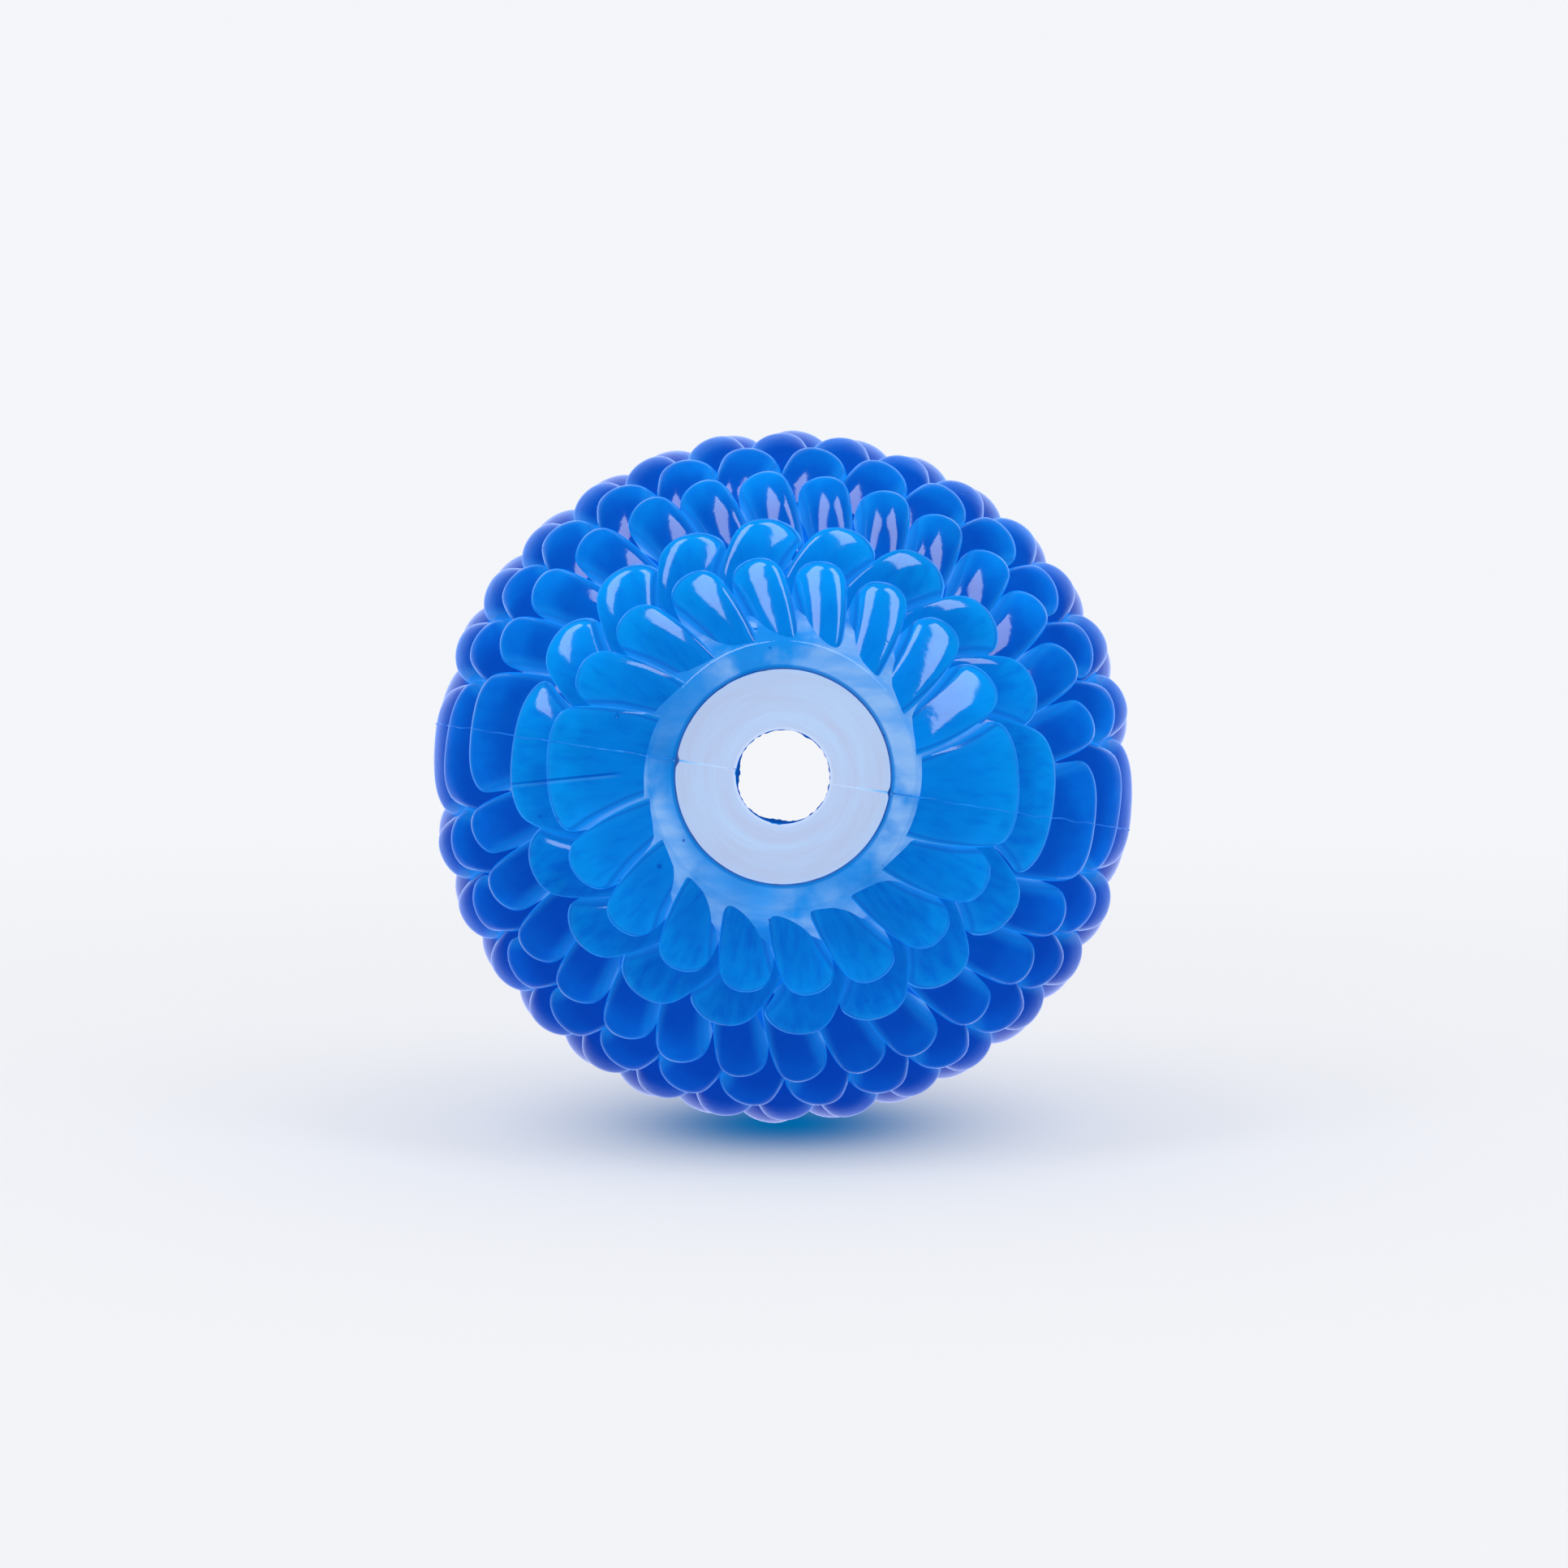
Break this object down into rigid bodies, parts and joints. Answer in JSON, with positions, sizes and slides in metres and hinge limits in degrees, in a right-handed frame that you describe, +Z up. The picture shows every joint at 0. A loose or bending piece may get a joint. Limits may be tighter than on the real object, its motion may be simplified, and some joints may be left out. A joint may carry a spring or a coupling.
{
  "type": "stress ball",
  "caption": "Translucent rubber squeeze ball made of two bonded halves, covered in rings of overlapping rounded scales, with a tapered hole right through it.",
  "frame": {"origin": "centre of the ball, on the axis of the hole and halfway between the two flat rims", "axes": "+Y along the hole's axis, from the wide mouth to the narrow one; +Z up as the ball lies; the seam plane holds Y and is rolled 8.7 degrees about it, lower on the +X side"},
  "size_m": [0.0694, 0.065, 0.0682],
  "materials": {
    "blue_rubber": "gloss",
    "bond_rubber": "gloss"
  },
  "bodies": {
    "root": {"upper_half": "blue_rubber", "lower_half": "blue_rubber", "seam_bond_right": "bond_rubber", "seam_bond_left": "bond_rubber"}
  },
  "joints": []
}
